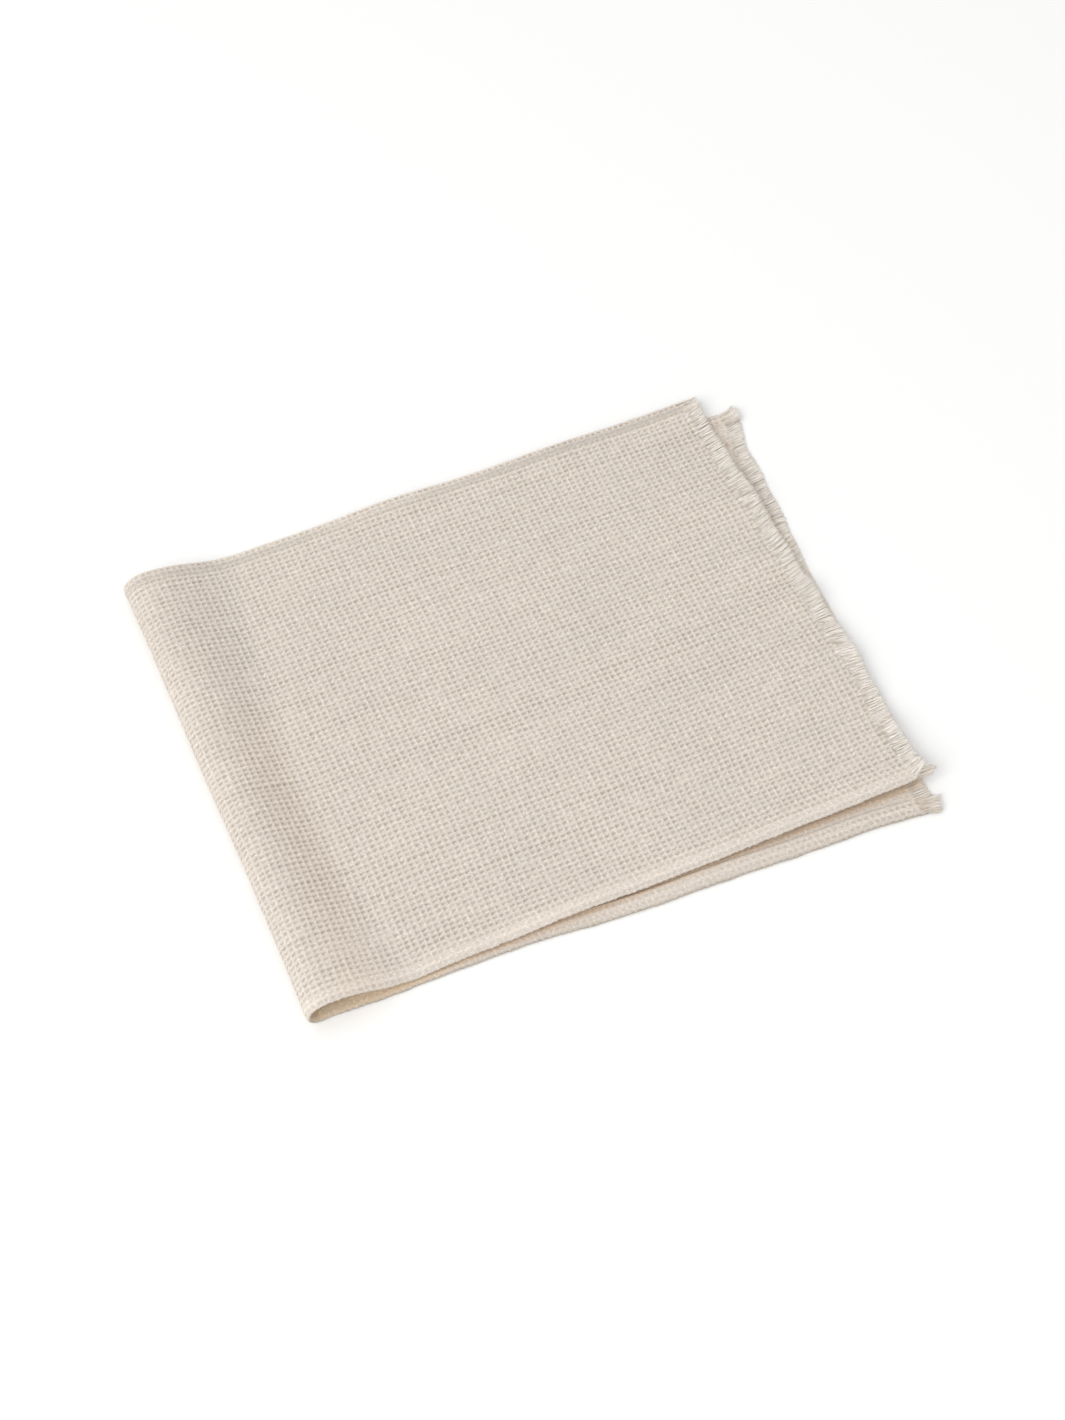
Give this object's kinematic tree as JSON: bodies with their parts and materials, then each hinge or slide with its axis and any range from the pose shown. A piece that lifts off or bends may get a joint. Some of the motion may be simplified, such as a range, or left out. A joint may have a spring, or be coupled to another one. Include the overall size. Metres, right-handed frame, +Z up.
{
  "type": "waffle towel",
  "caption": "Cream waffle-weave cotton towel lying folded over itself, with stitched hems along its long sides and a short self fringe at the free ends",
  "frame": {"origin": "On the table under the middle of the towel's box", "axes": "+X runs along the towel's length from the fold to the fringed free ends, +Y across its width, +Z up"},
  "size_m": [0.4384, 0.3606, 0.02],
  "materials": {
    "waffle_cotton": "undyed cream cotton in a small waffle weave, matte, soft",
    "fringe_yarn": "fine undyed cream cotton yarn, matte"
  },
  "bodies": {
    "root": {"towel": "waffle_cotton", "fringe_upper": "fringe_yarn", "fringe_lower": "fringe_yarn"}
  },
  "joints": []
}
